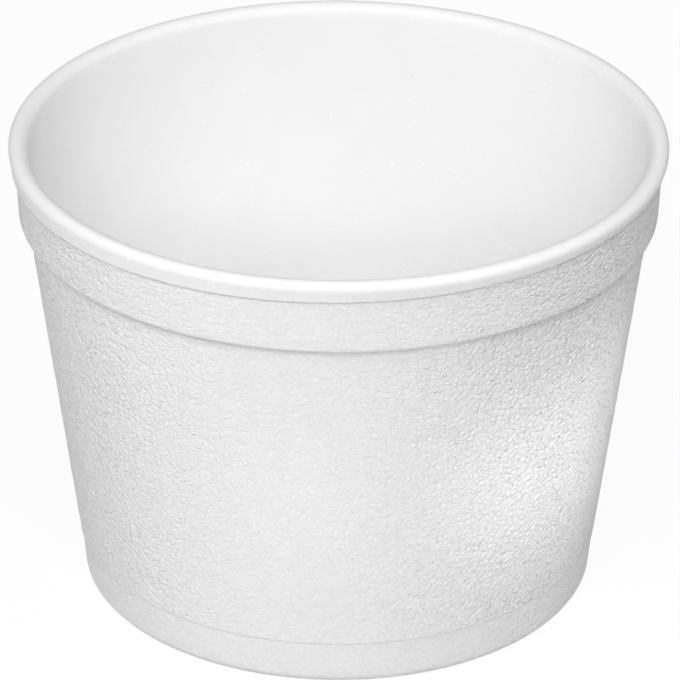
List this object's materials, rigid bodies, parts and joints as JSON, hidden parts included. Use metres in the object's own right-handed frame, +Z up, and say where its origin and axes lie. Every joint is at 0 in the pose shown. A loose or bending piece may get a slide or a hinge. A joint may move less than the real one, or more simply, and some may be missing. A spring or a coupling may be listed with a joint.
{
  "type": "foam food container",
  "caption": "Round tapered container of moulded foam with a rounded lip, a stepped collar, a fine line round its base band and a recessed foot.",
  "frame": {"origin": "middle of the foot ring, on the surface that the container stands on", "axes": "+Z up along the container's axis; it is round, so +X and +Y are alike"},
  "size_m": [0.112, 0.112, 0.082],
  "materials": {
    "foam": "white moulded bead foam, matte, with a faint skin sheen"
  },
  "bodies": {
    "root": {"container": "foam"}
  },
  "joints": []
}
